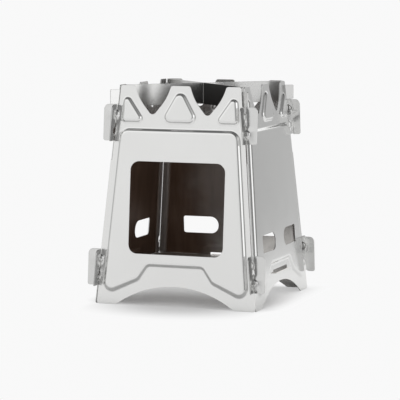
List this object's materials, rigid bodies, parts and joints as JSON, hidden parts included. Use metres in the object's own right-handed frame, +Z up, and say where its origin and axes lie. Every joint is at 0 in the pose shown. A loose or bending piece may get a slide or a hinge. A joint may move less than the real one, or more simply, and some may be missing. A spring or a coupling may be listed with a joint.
{
  "type": "twig stove",
  "caption": "Flat-pack sheet-steel twig stove: leaning pressed panels hooked at the corners, a feeding window, a perforated fire plate and a crossed lift-out pot stand.",
  "frame": {"origin": "on the ground under the middle of the stove", "axes": "+Z up, the feeding window faces -Y, +X to the right seen from the front"},
  "size_m": [0.1436, 0.1436, 0.1675],
  "materials": {
    "panel_steel": "bright rolled stainless sheet, pressed, with dark heat stain on the inside",
    "pot_stand_steel": "bright rolled stainless sheet",
    "fire_plate_steel": "stainless sheet darkened by fire and ash"
  },
  "bodies": {
    "stove": {"front_panel": "panel_steel", "right_panel": "panel_steel", "back_panel": "panel_steel", "left_panel": "panel_steel", "fire_plate": "fire_plate_steel"},
    "lower_stand_plate": {"pot_plate_lower": "pot_stand_steel"},
    "upper_stand_plate": {"pot_plate_upper": "pot_stand_steel"}
  },
  "joints": [
    {"name": "lower_stand_plate_lift", "type": "slide", "parent": "stove", "child": "lower_stand_plate", "axis": [0, 0, 1], "range_m": [0, 0.05]},
    {"name": "upper_stand_plate_lift", "type": "slide", "parent": "lower_stand_plate", "child": "upper_stand_plate", "axis": [0, 0, 1], "range_m": [0, 0.05]}
  ]
}
